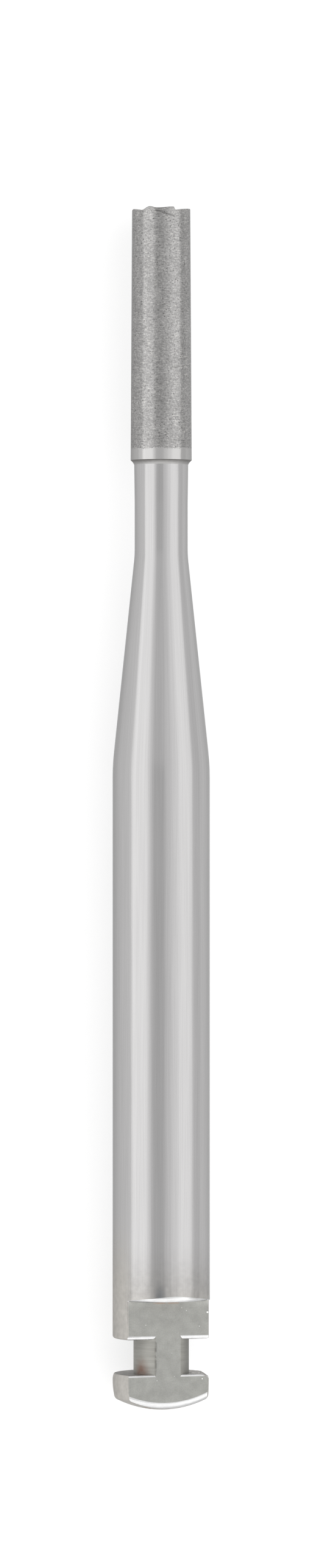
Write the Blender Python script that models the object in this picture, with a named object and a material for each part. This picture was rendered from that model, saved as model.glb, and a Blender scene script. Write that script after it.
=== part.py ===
"""Latch-type dental bur: working head, neck, tapered shoulder and shank in one piece of steel.

Metres, +Z up. The bur lies on its shank with its axis along Y. The head points to +Y and the
drive flat faces up. The origin is on the ground, under the middle of the length.
"""

from math import asin, cos, pi, radians, sin, sqrt, tan

import bmesh
import bpy
from mathutils import Matrix, Vector

# Lengths along the axis, counted from the pole of the domed button.
OVERALL_LENGTH = 0.02906
BUTTON_LENGTH = 0.00088
GROOVE_WIDTH = 0.00085
TAPER_LENGTH = 0.00508
NECK_LENGTH = 0.00218
NECK_FLARE_LENGTH = 0.00095
COLLAR_CHAMFER_LENGTH = 0.00011
HEAD_LENGTH = 0.0061

# Diameters. The shank has the standard size of a latch-type handpiece.
SHANK_DIAMETER = 0.00235
GROOVE_DIAMETER = 0.00134
NECK_DIAMETER = 0.001282
NECK_ROOT_DIAMETER = 0.001307
HEAD_ROOT_DIAMETER = 0.00148
HEAD_TIP_DIAMETER = 0.00141

# Rounds on the turned edges, and the blends at both ends of the taper.
DOME_RADIUS = 0.0024
BUTTON_EDGE_RADIUS = 0.00012
SHANK_EDGE_RADIUS = 0.000065
SHOULDER_BLEND_RADIUS = 0.006
NECK_BLEND_RADIUS = 0.003
TIP_EDGE_RADIUS = 0.00003

# Drive flat, and how far its edges are broken. The break on the crest of its end wall runs
# out this far round the shank, to each side of the top.
FLAT_THICKNESS = 0.00177
FLAT_LENGTH = 0.00266
EDGE_BREAK = 0.00006
DOME_BREAK = 0.00008
CREST_BREAK = 0.00012
CREST_SPREAD = radians(50.0)

# Land across the tip: the places of its feet and crests to each side of the axis.
LAND_TURN = radians(16.5)
LAND_LEFT_FOOT = 0.00047
LAND_LEFT_CREST = 0.00028
LAND_VALLEY = 0.00009
LAND_RIGHT_CREST = 0.0003
LAND_RIGHT_FOOT = 0.00035
LAND_HEIGHT = 0.00008
LAND_VALLEY_DEPTH = 0.000036
LAND_RIGHT_DROP = 0.000008

SEGMENTS = 96
SWEEP_STEPS = 24
CROWN_STEPS = 6
ARC_STEP = radians(7.5)
CUTTER_MARGIN = 0.0003
WELD = 0.0000001

SHANK_RADIUS = SHANK_DIAMETER / 2
GROOVE_RADIUS = GROOVE_DIAMETER / 2
FLAT_HEIGHT = FLAT_THICKNESS - SHANK_RADIUS
GROOVE_END = BUTTON_LENGTH + GROOVE_WIDTH
COLLAR = OVERALL_LENGTH - HEAD_LENGTH
NECK_ROOT = COLLAR - COLLAR_CHAMFER_LENGTH
NECK_START = NECK_ROOT - NECK_LENGTH
SHOULDER = NECK_START - TAPER_LENGTH


def clear_scene():
    for leftover in list(bpy.data.objects):
        bpy.data.objects.remove(leftover, do_unlink=True)


def ground_steel():
    material = bpy.data.materials.new("ground_steel")
    material.use_nodes = True
    shader = material.node_tree.nodes["Principled BSDF"]
    shader.inputs["Base Color"].default_value = (0.56, 0.56, 0.55, 1.0)
    shader.inputs["Metallic"].default_value = 1.0
    shader.inputs["Roughness"].default_value = 0.3
    return material


def along(height):
    """Y of a height above the dome's pole."""
    return height - OVERALL_LENGTH / 2


def arc(centre, radius, start, end):
    """Points of an arc about centre, from one angle to another, with both ends."""
    steps = max(2, round(abs(end - start) / ARC_STEP))
    angles = [start + (end - start) * i / steps for i in range(steps + 1)]
    return [(centre[0] + radius * cos(t), centre[1] + radius * sin(t)) for t in angles]


def blend(before, corner, after, radius):
    """Arc of this radius that rounds the corner between two straight lines."""
    to_before = (Vector(before) - Vector(corner)).normalized()
    to_after = (Vector(after) - Vector(corner)).normalized()
    half = to_before.angle(to_after) / 2
    setback = radius / tan(half)
    centre = Vector(corner) + (to_before + to_after).normalized() * radius / sin(half)
    first = Vector(corner) + to_before * setback - centre
    last = Vector(corner) + to_after * setback - centre
    turn = first.angle_signed(last)
    steps = max(2, round(abs(turn) / ARC_STEP) + 1)
    points = []
    for i in range(steps + 1):
        spoke = first.copy()
        spoke.rotate(Matrix.Rotation(-turn * i / steps, 2))
        points.append(tuple(centre + spoke))
    return points


def button_profile():
    """Dome, its rounded edge, and the wall up to the groove."""
    edge_centre_radius = SHANK_RADIUS - BUTTON_EDGE_RADIUS
    reach = DOME_RADIUS - BUTTON_EDGE_RADIUS
    tangent = asin(edge_centre_radius / reach) - pi / 2
    edge_centre = (edge_centre_radius, DOME_RADIUS - sqrt(reach**2 - edge_centre_radius**2))
    dome = arc((0, DOME_RADIUS), DOME_RADIUS, -pi / 2, tangent)
    edge = arc(edge_centre, BUTTON_EDGE_RADIUS, tangent, 0)
    return dome + edge[1:] + [(SHANK_RADIUS, BUTTON_LENGTH)]


def shaft_profile():
    """Shank from the groove, taper, neck, collar and head, up to the tip."""
    shank_edge = (SHANK_RADIUS - SHANK_EDGE_RADIUS, GROOVE_END + SHANK_EDGE_RADIUS)
    neck_radius = NECK_DIAMETER / 2
    shoulder = (SHANK_RADIUS, SHOULDER)
    neck_start = (neck_radius, NECK_START)
    flare = (neck_radius, NECK_ROOT - NECK_FLARE_LENGTH)
    head_root = (HEAD_ROOT_DIAMETER / 2, COLLAR)
    tip = (HEAD_TIP_DIAMETER / 2, OVERALL_LENGTH)
    points = arc(shank_edge, SHANK_EDGE_RADIUS, -pi / 2, 0)
    points += blend(points[-1], shoulder, neck_start, SHOULDER_BLEND_RADIUS)
    points += blend(shoulder, neck_start, flare, NECK_BLEND_RADIUS)
    points += [flare, (NECK_ROOT_DIAMETER / 2, NECK_ROOT), head_root]
    return points + blend(head_root, tip, (0, OVERALL_LENGTH), TIP_EDGE_RADIUS)


def stem_profile():
    """Core of the groove, carried on into the button and the shank."""
    embed = BUTTON_LENGTH / 2
    return [(GROOVE_RADIUS, BUTTON_LENGTH - embed), (GROOVE_RADIUS, GROOVE_END + embed)]


def add_object(name, mesh_data, carrier):
    mesh = bpy.data.meshes.new(name)
    bmesh.ops.recalc_face_normals(mesh_data, faces=mesh_data.faces)
    mesh_data.to_mesh(mesh)
    mesh_data.free()
    made = bpy.data.objects.new(name, mesh)
    made.parent = carrier
    bpy.context.scene.collection.objects.link(made)
    return made


def turned(name, profile, carrier):
    """Solid turned about the axis from points of radius and height."""
    shape = bmesh.new()
    points = [shape.verts.new((radius, along(height), 0)) for radius, height in profile]
    lines = [shape.edges.new(pair) for pair in zip(points, points[1:])]
    turn = {"cent": (0, 0, 0), "axis": (0, 1, 0), "angle": 2 * pi, "steps": SEGMENTS}
    bmesh.ops.spin(shape, geom=points + lines, use_merge=True, **turn)
    bmesh.ops.remove_doubles(shape, verts=shape.verts, dist=WELD)
    for face in shape.faces:
        face.smooth = True
    rims = [edge for edge in shape.edges if edge.is_boundary]
    bmesh.ops.holes_fill(shape, edges=rims, sides=0)
    made = add_object(name, shape, carrier)
    made.data.set_sharp_from_angle(angle=radians(30))
    return made


def helper(made):
    made.hide_render = True
    made.display_type = "WIRE"
    return made


def apply_tool(target, operation, tool):
    step = target.modifiers.new(tool.name, "BOOLEAN")
    step.operation = operation
    step.solver = "EXACT"
    step.object = helper(tool)


def edge_break(name, height, facing, carrier):
    """Bar that takes off the edge between the drive flat and a wall of the groove."""
    shape = bmesh.new()
    outward = Vector((0, facing, 1)).normalized()
    middle = Vector((0, along(height) - facing * EDGE_BREAK / 2, FLAT_HEIGHT - EDGE_BREAK / 2))
    place = Matrix.Translation(middle + outward * CUTTER_MARGIN / 2)
    size = Matrix.Diagonal((2 * SHANK_DIAMETER, CUTTER_MARGIN, CUTTER_MARGIN, 1))
    bmesh.ops.create_cube(shape, matrix=place @ Matrix.Rotation(pi / 4, 4, "X") @ size)
    return add_object(name, shape, carrier)


def swept(name, section, centre, axis, sweep, carrier):
    """Cutter swept about an axis, to both sides of the plane of its section."""
    shape = bmesh.new()
    corners = [shape.verts.new(corner) for corner in section]
    face = shape.faces.new(corners)
    lean = Matrix.Rotation(-sweep, 3, axis)
    bmesh.ops.rotate(shape, verts=corners, cent=centre, matrix=lean)
    turn = {"cent": centre, "axis": axis, "angle": 2 * sweep, "steps": SWEEP_STEPS}
    bmesh.ops.spin(shape, geom=[face, *face.edges, *corners], **turn)
    return add_object(name, shape, carrier)


def dome_break(carrier):
    """Conical cut along the edge where the drive flat meets the dome."""
    rim = sqrt(DOME_RADIUS**2 - FLAT_HEIGHT**2)
    inner = rim - DOME_BREAK - CUTTER_MARGIN
    outer = rim + CUTTER_MARGIN
    top = FLAT_HEIGHT + CUTTER_MARGIN
    bottom = FLAT_HEIGHT - DOME_BREAK - CUTTER_MARGIN
    centre = Vector((0, along(DOME_RADIUS), 0))
    corners = [(inner, top), (outer, top), (outer, bottom)]
    section = [(0, centre.y - radius, height) for radius, height in corners]
    sweep = asin(min(1.0, (SHANK_RADIUS + CUTTER_MARGIN) / inner))
    return swept("dome_break", section, centre, Vector((0, 0, 1)), sweep, carrier)


def crest_break(carrier):
    """Conical cut on the crest of the flat's end wall, deepest at the top of the shank."""
    wall = along(FLAT_LENGTH)
    crest = SHANK_RADIUS - CREST_BREAK
    drop = (SHANK_RADIUS**2 - crest**2) / 2 / (crest - SHANK_RADIUS * cos(CREST_SPREAD))
    centre = Vector((0, wall, -drop))
    lead = CREST_BREAK / 6
    reach = CREST_BREAK + CUTTER_MARGIN
    section = [
        (0, wall - lead, crest - lead),
        (0, wall + reach, crest + reach),
        (0, wall - lead, crest + reach),
    ]
    return swept("crest_break", section, centre, Vector((0, 1, 0)), CREST_SPREAD, carrier)


def flat_cutter(carrier):
    """Block that the drive flat takes off, up to its end wall."""
    start = along(-CUTTER_MARGIN)
    width = SHANK_DIAMETER + 2 * CUTTER_MARGIN
    height = width - FLAT_THICKNESS
    length = along(FLAT_LENGTH) - start
    place = Matrix.Translation((0, start + length / 2, FLAT_HEIGHT + height / 2))
    shape = bmesh.new()
    size = Matrix.Diagonal((width, length, height, 1))
    bmesh.ops.create_cube(shape, matrix=place @ size)
    return add_object("drive_flat_cut", shape, carrier)


def land_outline():
    """Crown of the land as points of offset and height, with soft crests and a soft valley."""
    low = OVERALL_LENGTH - LAND_HEIGHT
    stations = [
        (-LAND_LEFT_FOOT, low),
        (-LAND_LEFT_CREST, OVERALL_LENGTH),
        (-LAND_VALLEY, OVERALL_LENGTH - LAND_VALLEY_DEPTH),
        (LAND_RIGHT_CREST, OVERALL_LENGTH - LAND_RIGHT_DROP),
        (LAND_RIGHT_FOOT, low),
    ]
    points = [stations[0]]
    for (start, from_height), (end, to_height) in zip(stations, stations[1:]):
        for i in range(1, CROWN_STEPS + 1):
            eased = (1 - cos(pi * i / CROWN_STEPS)) / 2
            across = start + (end - start) * i / CROWN_STEPS
            points.append((across, from_height + (to_height - from_height) * eased))
    return points


def land_cutter(carrier):
    """What is ground away round the land at the tip."""
    reach = HEAD_TIP_DIAMETER / 2 + CUTTER_MARGIN
    low = OVERALL_LENGTH - LAND_HEIGHT
    top = OVERALL_LENGTH + CUTTER_MARGIN
    outline = [(-reach, top), (-reach, low), *land_outline(), (reach, low), (reach, top)]
    shape = bmesh.new()
    section = [shape.verts.new((across, along(height), -reach)) for across, height in outline]
    raised = bmesh.ops.extrude_face_region(shape, geom=[shape.faces.new(section)])
    far = [item for item in raised["geom"] if isinstance(item, bmesh.types.BMVert)]
    bmesh.ops.translate(shape, verts=far, vec=(0, 0, 2 * reach))
    cutter = add_object("land_cut", shape, carrier)
    cutter.rotation_euler.y = -LAND_TURN
    return cutter


def build():
    clear_scene()
    axis = bpy.data.objects.new("axis", None)
    axis.location.z = SHANK_RADIUS
    bpy.context.scene.collection.objects.link(axis)

    button = turned("button", button_profile(), axis)
    apply_tool(button, "DIFFERENCE", edge_break("button_break", BUTTON_LENGTH, 1, axis))
    apply_tool(button, "DIFFERENCE", dome_break(axis))

    bur = turned("bur", shaft_profile(), axis)
    bur.data.materials.append(ground_steel())
    apply_tool(bur, "DIFFERENCE", edge_break("shank_break", GROOVE_END, -1, axis))
    apply_tool(bur, "UNION", turned("stem", stem_profile(), axis))
    apply_tool(bur, "UNION", button)
    apply_tool(bur, "DIFFERENCE", crest_break(axis))
    apply_tool(bur, "DIFFERENCE", flat_cutter(axis))
    apply_tool(bur, "DIFFERENCE", land_cutter(axis))


build()
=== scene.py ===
"""Dental bur with a latch-type shank, lying on a white table in soft studio light.

Metres, +Z up. The bur's axis runs along Y with the head at +Y, and the drive flat faces up.
"""

from math import asin, atan2, cos, pi, radians, sin, sqrt, tan

import bmesh
import bpy
from mathutils import Matrix, Vector


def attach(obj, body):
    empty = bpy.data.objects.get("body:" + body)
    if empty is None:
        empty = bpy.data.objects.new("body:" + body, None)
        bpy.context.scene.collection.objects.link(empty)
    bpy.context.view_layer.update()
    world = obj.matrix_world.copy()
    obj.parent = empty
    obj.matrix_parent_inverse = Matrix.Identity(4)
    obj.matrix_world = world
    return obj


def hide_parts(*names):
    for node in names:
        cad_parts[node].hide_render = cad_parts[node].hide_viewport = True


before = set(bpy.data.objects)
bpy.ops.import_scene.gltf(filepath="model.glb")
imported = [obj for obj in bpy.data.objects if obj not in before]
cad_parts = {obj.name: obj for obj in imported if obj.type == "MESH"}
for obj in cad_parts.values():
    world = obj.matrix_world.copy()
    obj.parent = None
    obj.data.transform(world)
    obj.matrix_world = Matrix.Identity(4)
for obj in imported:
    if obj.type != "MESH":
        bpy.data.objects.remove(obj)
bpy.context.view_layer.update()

# ------------------------------------------------------------------------------------------
# Shank, taper and neck
# One bar of hardened stainless steel, turned and then ground between centres. Everything on
# the bur is cut from this bar. The ground faces carry very fine lines along the axis.
# ------------------------------------------------------------------------------------------

# Places along the bar are heights above the pole of the domed button.
LENGTH = 0.02906
SHANK_RADIUS = 0.001175
SHANK_START = 0.00173
SHANK_EDGE_RADIUS = 0.000065
SHOULDER = 0.01559
SHOULDER_BLEND = 0.006
NECK_START = 0.02067
NECK_RADIUS = 0.000641
NECK_BLEND = 0.003
NECK_FLARE = 0.0219
NECK_ROOT = 0.02285
NECK_ROOT_RADIUS = 0.0006535
SEGMENTS = 256
ARC_STEP = radians(3.0)
WELD = 0.0000001

STEEL_COLOUR = "#B0AFAF"
STEEL_WORN = "#9D9B98"
# The next two colours are painted reflections: a warm one and a bluish-dark one.
STEEL_WARM_REFLECTION = "#B5B2AD"
STEEL_DARK_REFLECTION = "#5E646B"
STEEL_BROWN = "#7A6048"
EDGE_TINT = (0.66, 0.66, 0.66, 1.0)
STEEL_ROUGHNESS = 0.2
WARM_ROUGHNESS = 0.4

# The grinding lines are 0.031 mm apart and 2.5 mm long. Real ones lie nearer 0.005 mm apart,
# too fine for the picture. The mottle of use is 0.14 mm wide.
STREAK_TURNS = 38.0
STREAK_LENGTHS = 400.0
STREAK_DEPTH = 0.00000035
MOTTLE_SCALE = 7000.0

# A look sets in at FROM and is full at TO, along Y, or across X for the flank on the left.
WORN_FROM = -0.0103
WORN_TO = -0.0122
WARM_FROM = -0.0114
WARM_TO = -0.0126
FLANK_FROM = -0.0009
FLANK_TO = -0.0011
FLANK_WARM_FROM = -0.0096
FLANK_WARM_TO = -0.0118
DOME_FROM = -0.01440
DOME_TO = -0.01446
# A painted dark reflection on the shank, just ahead of the flat's end wall.
DARK_REFLECTION_PLACE = (-0.00036, -0.01178, 0.00112)
DARK_REFLECTION_STRETCH = (1.0, 0.42, 1.0)
DARK_REFLECTION_REACH = 0.0002
DARK_REFLECTION_SHARE = 0.6

# Span of a pattern's values at 1 and 2, and what a Map Range node makes of it at 3 and 4.
STREAK_SHADES = {1: 0.3, 2: 0.7, 3: 0.97, 4: 1.03}
MOTTLE_SHADES = {1: 0.3, 2: 0.7, 3: -0.1, 4: 0.1}
DOME_SPOTS = {1: 0.5, 2: 0.6, 4: 0.8}


def along(height):
    """Y of a height above the pole of the domed button."""
    return height - LENGTH / 2


def arc(centre, radius, start, end):
    """Points of an arc about centre, from one angle to another, with both ends."""
    steps = max(2, round(abs(end - start) / ARC_STEP))
    angles = [start + (end - start) * i / steps for i in range(steps + 1)]
    return [(centre[0] + radius * cos(t), centre[1] + radius * sin(t)) for t in angles]


def blend(before, corner, after, radius):
    """Arc of this radius that rounds the corner between two straight lines."""
    to_before = (Vector(before) - Vector(corner)).normalized()
    to_after = (Vector(after) - Vector(corner)).normalized()
    half = to_before.angle(to_after) / 2
    centre = Vector(corner) + (to_before + to_after).normalized() * radius / sin(half)
    first = Vector(corner) + to_before * radius / tan(half) - centre
    last = Vector(corner) + to_after * radius / tan(half) - centre
    turn = first.angle_signed(last)
    steps = max(2, round(abs(turn) / ARC_STEP) + 1)
    points = []
    for i in range(steps + 1):
        spoke = first.copy()
        spoke.rotate(Matrix.Rotation(-turn * i / steps, 2))
        points.append(tuple(centre + spoke))
    return points


def make_object(name, shape, finish):
    """Object of a finished bmesh, with its faces outward and one material."""
    bmesh.ops.recalc_face_normals(shape, faces=shape.faces)
    mesh = bpy.data.meshes.new(name)
    shape.to_mesh(mesh)
    shape.free()
    mesh.materials.append(finish)
    made = bpy.data.objects.new(name, mesh)
    bpy.context.scene.collection.objects.link(made)
    return made


def turned(name, profile, finish):
    """Solid turned about the axis from points of radius and height."""
    shape = bmesh.new()
    points = [shape.verts.new((radius, along(height), 0)) for radius, height in profile]
    lines = [shape.edges.new(pair) for pair in zip(points, points[1:])]
    turn = {"cent": (0, 0, 0), "axis": (0, 1, 0), "angle": 2 * pi, "steps": SEGMENTS}
    bmesh.ops.spin(shape, geom=points + lines, use_merge=True, **turn)
    bmesh.ops.remove_doubles(shape, verts=shape.verts, dist=WELD)
    rims = [edge for edge in shape.edges if edge.is_boundary]
    bmesh.ops.holes_fill(shape, edges=rims, sides=0)
    return make_object(name, shape, finish)


def linear(code):
    """Linear colour of an sRGB hex value."""
    shares = [int(code[i : i + 2], 16) / 255 for i in (1, 3, 5)]
    return [s / 12.92 if s <= 0.04045 else ((s + 0.055) / 1.055) ** 2.4 for s in shares] + [1.0]


def add(tree, kind, inputs=None, output=0, **settings):
    """Adds a node with its settings and links, and gives one of its outputs."""
    node = tree.nodes.new(kind)
    for name, value in settings.items():
        setattr(node, name, value)
    for socket, value in (inputs or {}).items():
        if isinstance(value, bpy.types.NodeSocket):
            tree.links.new(value, node.inputs[socket])
        else:
            node.inputs[socket].default_value = value
    return node.outputs[output]


# What a Map Range node needs for soft ends, and a Mix node for colours at 6 and 7.
SMOOTH = {"interpolation_type": "SMOOTHSTEP"}
COLOUR_MIX = {"data_type": "RGBA", "output": 2}


def new_metal(name):
    """Material of bare metal, with its node tree and its shader."""
    material = bpy.data.materials.new(name)
    material.use_nodes = True
    shader = material.node_tree.nodes["Principled BSDF"]
    shader.inputs["Metallic"].default_value = 1.0
    shader.inputs["Specular Tint"].default_value = EDGE_TINT
    return material, material.node_tree, shader


def spot_on_bur(tree):
    """Object coordinates counted from the middle of the bur's axis, and their X, Y and Z."""
    coordinates = add(tree, "ShaderNodeTexCoord", output="Object")
    down = {"Vector": coordinates, "Location": (0, 0, -SHANK_RADIUS)}
    spot = add(tree, "ShaderNodeMapping", down)
    return spot, *add(tree, "ShaderNodeSeparateXYZ", {0: spot}).node.outputs


def round_the_axis(tree, spot, turns, lengths):
    """Pattern place on a turned face: the direction from the axis times turns, Y times lengths."""
    outward = add(tree, "ShaderNodeVectorMath", {0: spot, 1: (1, 0, 1)}, operation="MULTIPLY")
    unit = add(tree, "ShaderNodeVectorMath", {0: outward}, operation="NORMALIZE")
    way = add(tree, "ShaderNodeVectorMath", {0: spot, 1: (0, lengths, 0)}, operation="MULTIPLY")
    sockets = {0: unit, 1: (turns,) * 3, 2: way}
    return add(tree, "ShaderNodeVectorMath", sockets, operation="MULTIPLY_ADD")


def soft_patch(tree, spot, place, stretch, reach, share):
    """Share of a soft patch that fades out round its place."""
    away = add(tree, "ShaderNodeVectorMath", {0: spot, 1: place}, operation="SUBTRACT")
    away = add(tree, "ShaderNodeVectorMath", {0: away, 1: stretch}, operation="MULTIPLY")
    away = add(tree, "ShaderNodeVectorMath", {0: away}, output="Value", operation="LENGTH")
    return add(tree, "ShaderNodeMapRange", {0: away, 1: reach, 2: 0.0, 4: share}, **SMOOTH)


def ground_stainless_steel():
    """Ground stainless steel: a soft mirror that fine lines along the axis draw out.

    Towards the latch end it is duller from use, and a painted warm reflection tints it and its
    left flank. A painted dark reflection lies just ahead of the flat's end wall, and there are
    traces of brown on the dome.
    """
    material, tree, shader = new_metal("ground stainless steel")
    spot, x, y, _ = spot_on_bur(tree)
    lines = round_the_axis(tree, spot, STREAK_TURNS, STREAK_LENGTHS)
    height = add(tree, "ShaderNodeTexNoise", {"Vector": lines, "Scale": 1.0, "Detail": 3.0})
    mottle = {"Vector": spot, "Scale": MOTTLE_SCALE, "Detail": 5.0}
    mottle = add(tree, "ShaderNodeTexNoise", mottle)

    worn = add(tree, "ShaderNodeMapRange", {0: y, 1: WORN_FROM, 2: WORN_TO}, **SMOOTH)
    warm = add(tree, "ShaderNodeMapRange", {0: y, 1: WARM_FROM, 2: WARM_TO}, **SMOOTH)
    flank = add(tree, "ShaderNodeMapRange", {0: x, 1: FLANK_FROM, 2: FLANK_TO}, **SMOOTH)
    flank_reach = {0: y, 1: FLANK_WARM_FROM, 2: FLANK_WARM_TO}
    flank_reach = add(tree, "ShaderNodeMapRange", flank_reach, **SMOOTH)
    flank = add(tree, "ShaderNodeMath", {0: flank, 1: flank_reach}, operation="MULTIPLY")
    warm = add(tree, "ShaderNodeMath", {0: warm, 1: flank}, operation="MAXIMUM")
    dome = add(tree, "ShaderNodeMapRange", {0: y, 1: DOME_FROM, 2: DOME_TO}, **SMOOTH)
    spots = add(tree, "ShaderNodeMapRange", {0: mottle, **DOME_SPOTS}, **SMOOTH)
    brown = add(tree, "ShaderNodeMath", {0: dome, 1: spots}, operation="MULTIPLY")
    # Share of the painted dark reflection ahead of the end wall.
    dark_reflection = soft_patch(tree, spot, DARK_REFLECTION_PLACE, DARK_REFLECTION_STRETCH, DARK_REFLECTION_REACH, DARK_REFLECTION_SHARE)

    tone = {0: worn, 6: linear(STEEL_COLOUR), 7: linear(STEEL_WORN)}
    tone = add(tree, "ShaderNodeMix", tone, **COLOUR_MIX)
    # Of the tints mixed in here, the warm one and the bluish-dark one are painted reflections.
    for share, colour in ((warm, STEEL_WARM_REFLECTION), (dark_reflection, STEEL_DARK_REFLECTION), (brown, STEEL_BROWN)):
        tone = add(tree, "ShaderNodeMix", {0: share, 6: tone, 7: linear(colour)}, **COLOUR_MIX)
    streaks = add(tree, "ShaderNodeMapRange", {0: height, **STREAK_SHADES}, **SMOOTH)
    blotch = add(tree, "ShaderNodeMapRange", {0: mottle, **MOTTLE_SHADES})
    shade = {0: blotch, 1: worn, 2: streaks}
    shade = add(tree, "ShaderNodeMath", shade, operation="MULTIPLY_ADD")
    colour = add(tree, "ShaderNodeVectorMath", {0: tone, "Scale": shade}, operation="SCALE")
    tree.links.new(colour, shader.inputs["Base Color"])
    rough = add(tree, "ShaderNodeMapRange", {0: warm, 3: STEEL_ROUGHNESS, 4: WARM_ROUGHNESS})
    tree.links.new(rough, shader.inputs["Roughness"])
    bump = add(tree, "ShaderNodeBump", {"Height": height, "Distance": STREAK_DEPTH})
    tree.links.new(bump, shader.inputs["Normal"])
    return material


def shank_outline():
    """Half section of the shank, the taper and the neck, up to the neck's flare."""
    edge_centre = (SHANK_RADIUS - SHANK_EDGE_RADIUS, SHANK_START + SHANK_EDGE_RADIUS)
    shoulder = (SHANK_RADIUS, SHOULDER)
    neck = (NECK_RADIUS, NECK_START)
    flare = (NECK_RADIUS, NECK_FLARE)
    outline = arc(edge_centre, SHANK_EDGE_RADIUS, -pi / 2, 0)
    outline += blend(outline[-1], shoulder, neck, SHOULDER_BLEND)
    return outline + blend(shoulder, neck, flare, NECK_BLEND) + [flare]


# ------------------------------------------------------------------------------------------
# Working head and its collar
# Turned with the neck and then roughened with a coarse abrasive, which leaves a grey face of
# tiny pits and scratches. It stops ragged, short of the collar, and leaves a bright band.
# ------------------------------------------------------------------------------------------

COLLAR = 0.02296
FILLET_TURN = radians(30.0)
HEAD_ROOT_RADIUS = 0.00074
HEAD_TIP_RADIUS = 0.000705
TIP_EDGE_RADIUS = 0.00004
LAND_TURN = radians(16.5)
LAND_HEIGHT = 0.00008
RIM_RISE_LEFT = 0.00004
RIM_RISE_RIGHT = 0.000055
# Crests and valleys of the land: the place across the tip, and the drop in land heights.
LAND_STATIONS = [
    (-0.00047, 1.0),
    (-0.00028, 0.0),
    (-0.00009, 0.45),
    (0.0003, 0.1),
    (0.00035, 1.0),
]
CROWN_STEPS = 12

HEAD_COLOUR = "#949392"
HEAD_PIT_AND_SHADE = "#4E4D4C"
HEAD_FLECK = "#C4C2BC"
HEAD_ROUGHNESS = 0.22
BAND_HIGHLIGHT = "#B2B1B0"
BAND_DULL = "#A7A6A5"
FILLET_COLOUR = "#A5A4A3"
# Painted shade that darkens the fillet up to the collar's crease.
CREASE_SHADE_COLOUR = "#706E6C"
FILLET_ROUGHNESS = 0.5

# The grain is 0.036 mm wide and comes in patches nine times as wide. The scratches are
# 0.1 mm long and 0.031 mm apart, and the pocks lie 0.083 mm apart.
GRAIN_SCALE = 28000.0
PATCH_SCALE = GRAIN_SCALE / 9
SCRATCH_TURNS = 7.0
SCRATCH_LENGTHS = 32000.0
SCRATCH_SHARE = 0.7
POCK_SCALE = 12000.0
POCK_SIZE = 0.24
POCK_SHARE = 0.75
GRAIN_DEPTH = 0.0000015

HEAD_SHADES = {1: 0.62, 2: 1.08, 3: 0.7, 4: 1.34}
PATCH_SHADES = {1: 0.3, 2: 0.7, 3: 0.93, 4: 1.07}
POCKED_PATCH = {1: 0.42, 2: 0.56}
DEEP_GRAIN = {1: 0.36, 2: 0.26, 4: 0.6}
DEEP_SCRATCH = {1: 0.36, 2: 0.26, 4: 0.35}
PROUD_GRAIN = {1: 0.64, 2: 0.74, 4: 0.4}
PROUD_SCRATCH = {1: 0.61, 2: 0.71, 4: 0.4}

# The ragged line along Y where the abrasive stopped, and the band's painted highlight across X.
ROUGH_END = 0.0087
RAGGED_STEP = 0.00012
RAGGED_BELOW = 0.00001
RAGGED_ABOVE = 0.00002
HIGHLIGHT_LEFT = -0.00067
HIGHLIGHT_RIGHT = 0.0003
HIGHLIGHT_WANDER = 0.0001
# Where the painted shade in the collar's crease sets in and is full, and how far it wanders.
CREASE_FROM = 0.00834
CREASE_TO = 0.00844
CREASE_WANDER = 0.00003
# A ragged line of painted shade under the land, on the upper side of the head.
LAND_SHADE_ENDS = ((-0.00033, 0.01443), (0.00013, 0.01429))
LAND_SHADE_REACH = 0.000035
LAND_SHADE_WANDER = 0.00008
LAND_SHADE_SHARE = 0.6


def land_shade_line(tree, x, y, z, grain):
    """Share of the ragged line of painted shade under the land, from its valley to the right."""
    (left, high), (right, low) = LAND_SHADE_ENDS
    level = {0: x, 1: left, 2: right, 3: high - LAND_SHADE_WANDER / 2, 4: low - LAND_SHADE_WANDER / 2}
    level = add(tree, "ShaderNodeMapRange", level)
    level = {0: grain, 1: LAND_SHADE_WANDER, 2: level}
    level = add(tree, "ShaderNodeMath", level, operation="MULTIPLY_ADD")
    off = add(tree, "ShaderNodeMath", {0: y, 1: level}, operation="SUBTRACT")
    off = add(tree, "ShaderNodeMath", {0: off}, operation="ABSOLUTE")
    land_shade = {0: off, 1: LAND_SHADE_REACH, 2: 0.0, 4: LAND_SHADE_SHARE}
    land_shade = add(tree, "ShaderNodeMapRange", land_shade, **SMOOTH)
    within = {0: x, 1: (left + right) / 2, 2: (right - left) / 2}
    within = add(tree, "ShaderNodeMath", within, operation="COMPARE")
    front = add(tree, "ShaderNodeMath", {0: z, 1: 0.0}, operation="GREATER_THAN")
    within = add(tree, "ShaderNodeMath", {0: within, 1: front}, operation="MULTIPLY")
    return add(tree, "ShaderNodeMath", {0: land_shade, 1: within}, operation="MULTIPLY")


def abraded_shade(tree, relief, patch):
    """Shade of the grey face: lighter where the relief stands proud, and patchy."""
    shade = add(tree, "ShaderNodeMapRange", {0: relief, **HEAD_SHADES})
    broad = add(tree, "ShaderNodeMapRange", {0: patch, **PATCH_SHADES})
    return add(tree, "ShaderNodeMath", {0: shade, 1: broad}, operation="MULTIPLY")


def pits_and_pocks(tree, spot, grain, patch):
    """Share of the dark pits: the deepest grain, and round pocks in some patches."""
    pock = add(tree, "ShaderNodeTexVoronoi", {"Vector": spot, "Scale": POCK_SCALE})
    pock = {0: pock, 1: POCK_SIZE, 2: POCK_SIZE / 2, 4: POCK_SHARE}
    pock = add(tree, "ShaderNodeMapRange", pock, **SMOOTH)
    some = add(tree, "ShaderNodeMapRange", {0: patch, **POCKED_PATCH}, **SMOOTH)
    pock = add(tree, "ShaderNodeMath", {0: pock, 1: some}, operation="MULTIPLY")
    pit = add(tree, "ShaderNodeMapRange", {0: grain, **DEEP_GRAIN}, **SMOOTH)
    return add(tree, "ShaderNodeMath", {0: pit, 1: pock}, operation="MAXIMUM")


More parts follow.
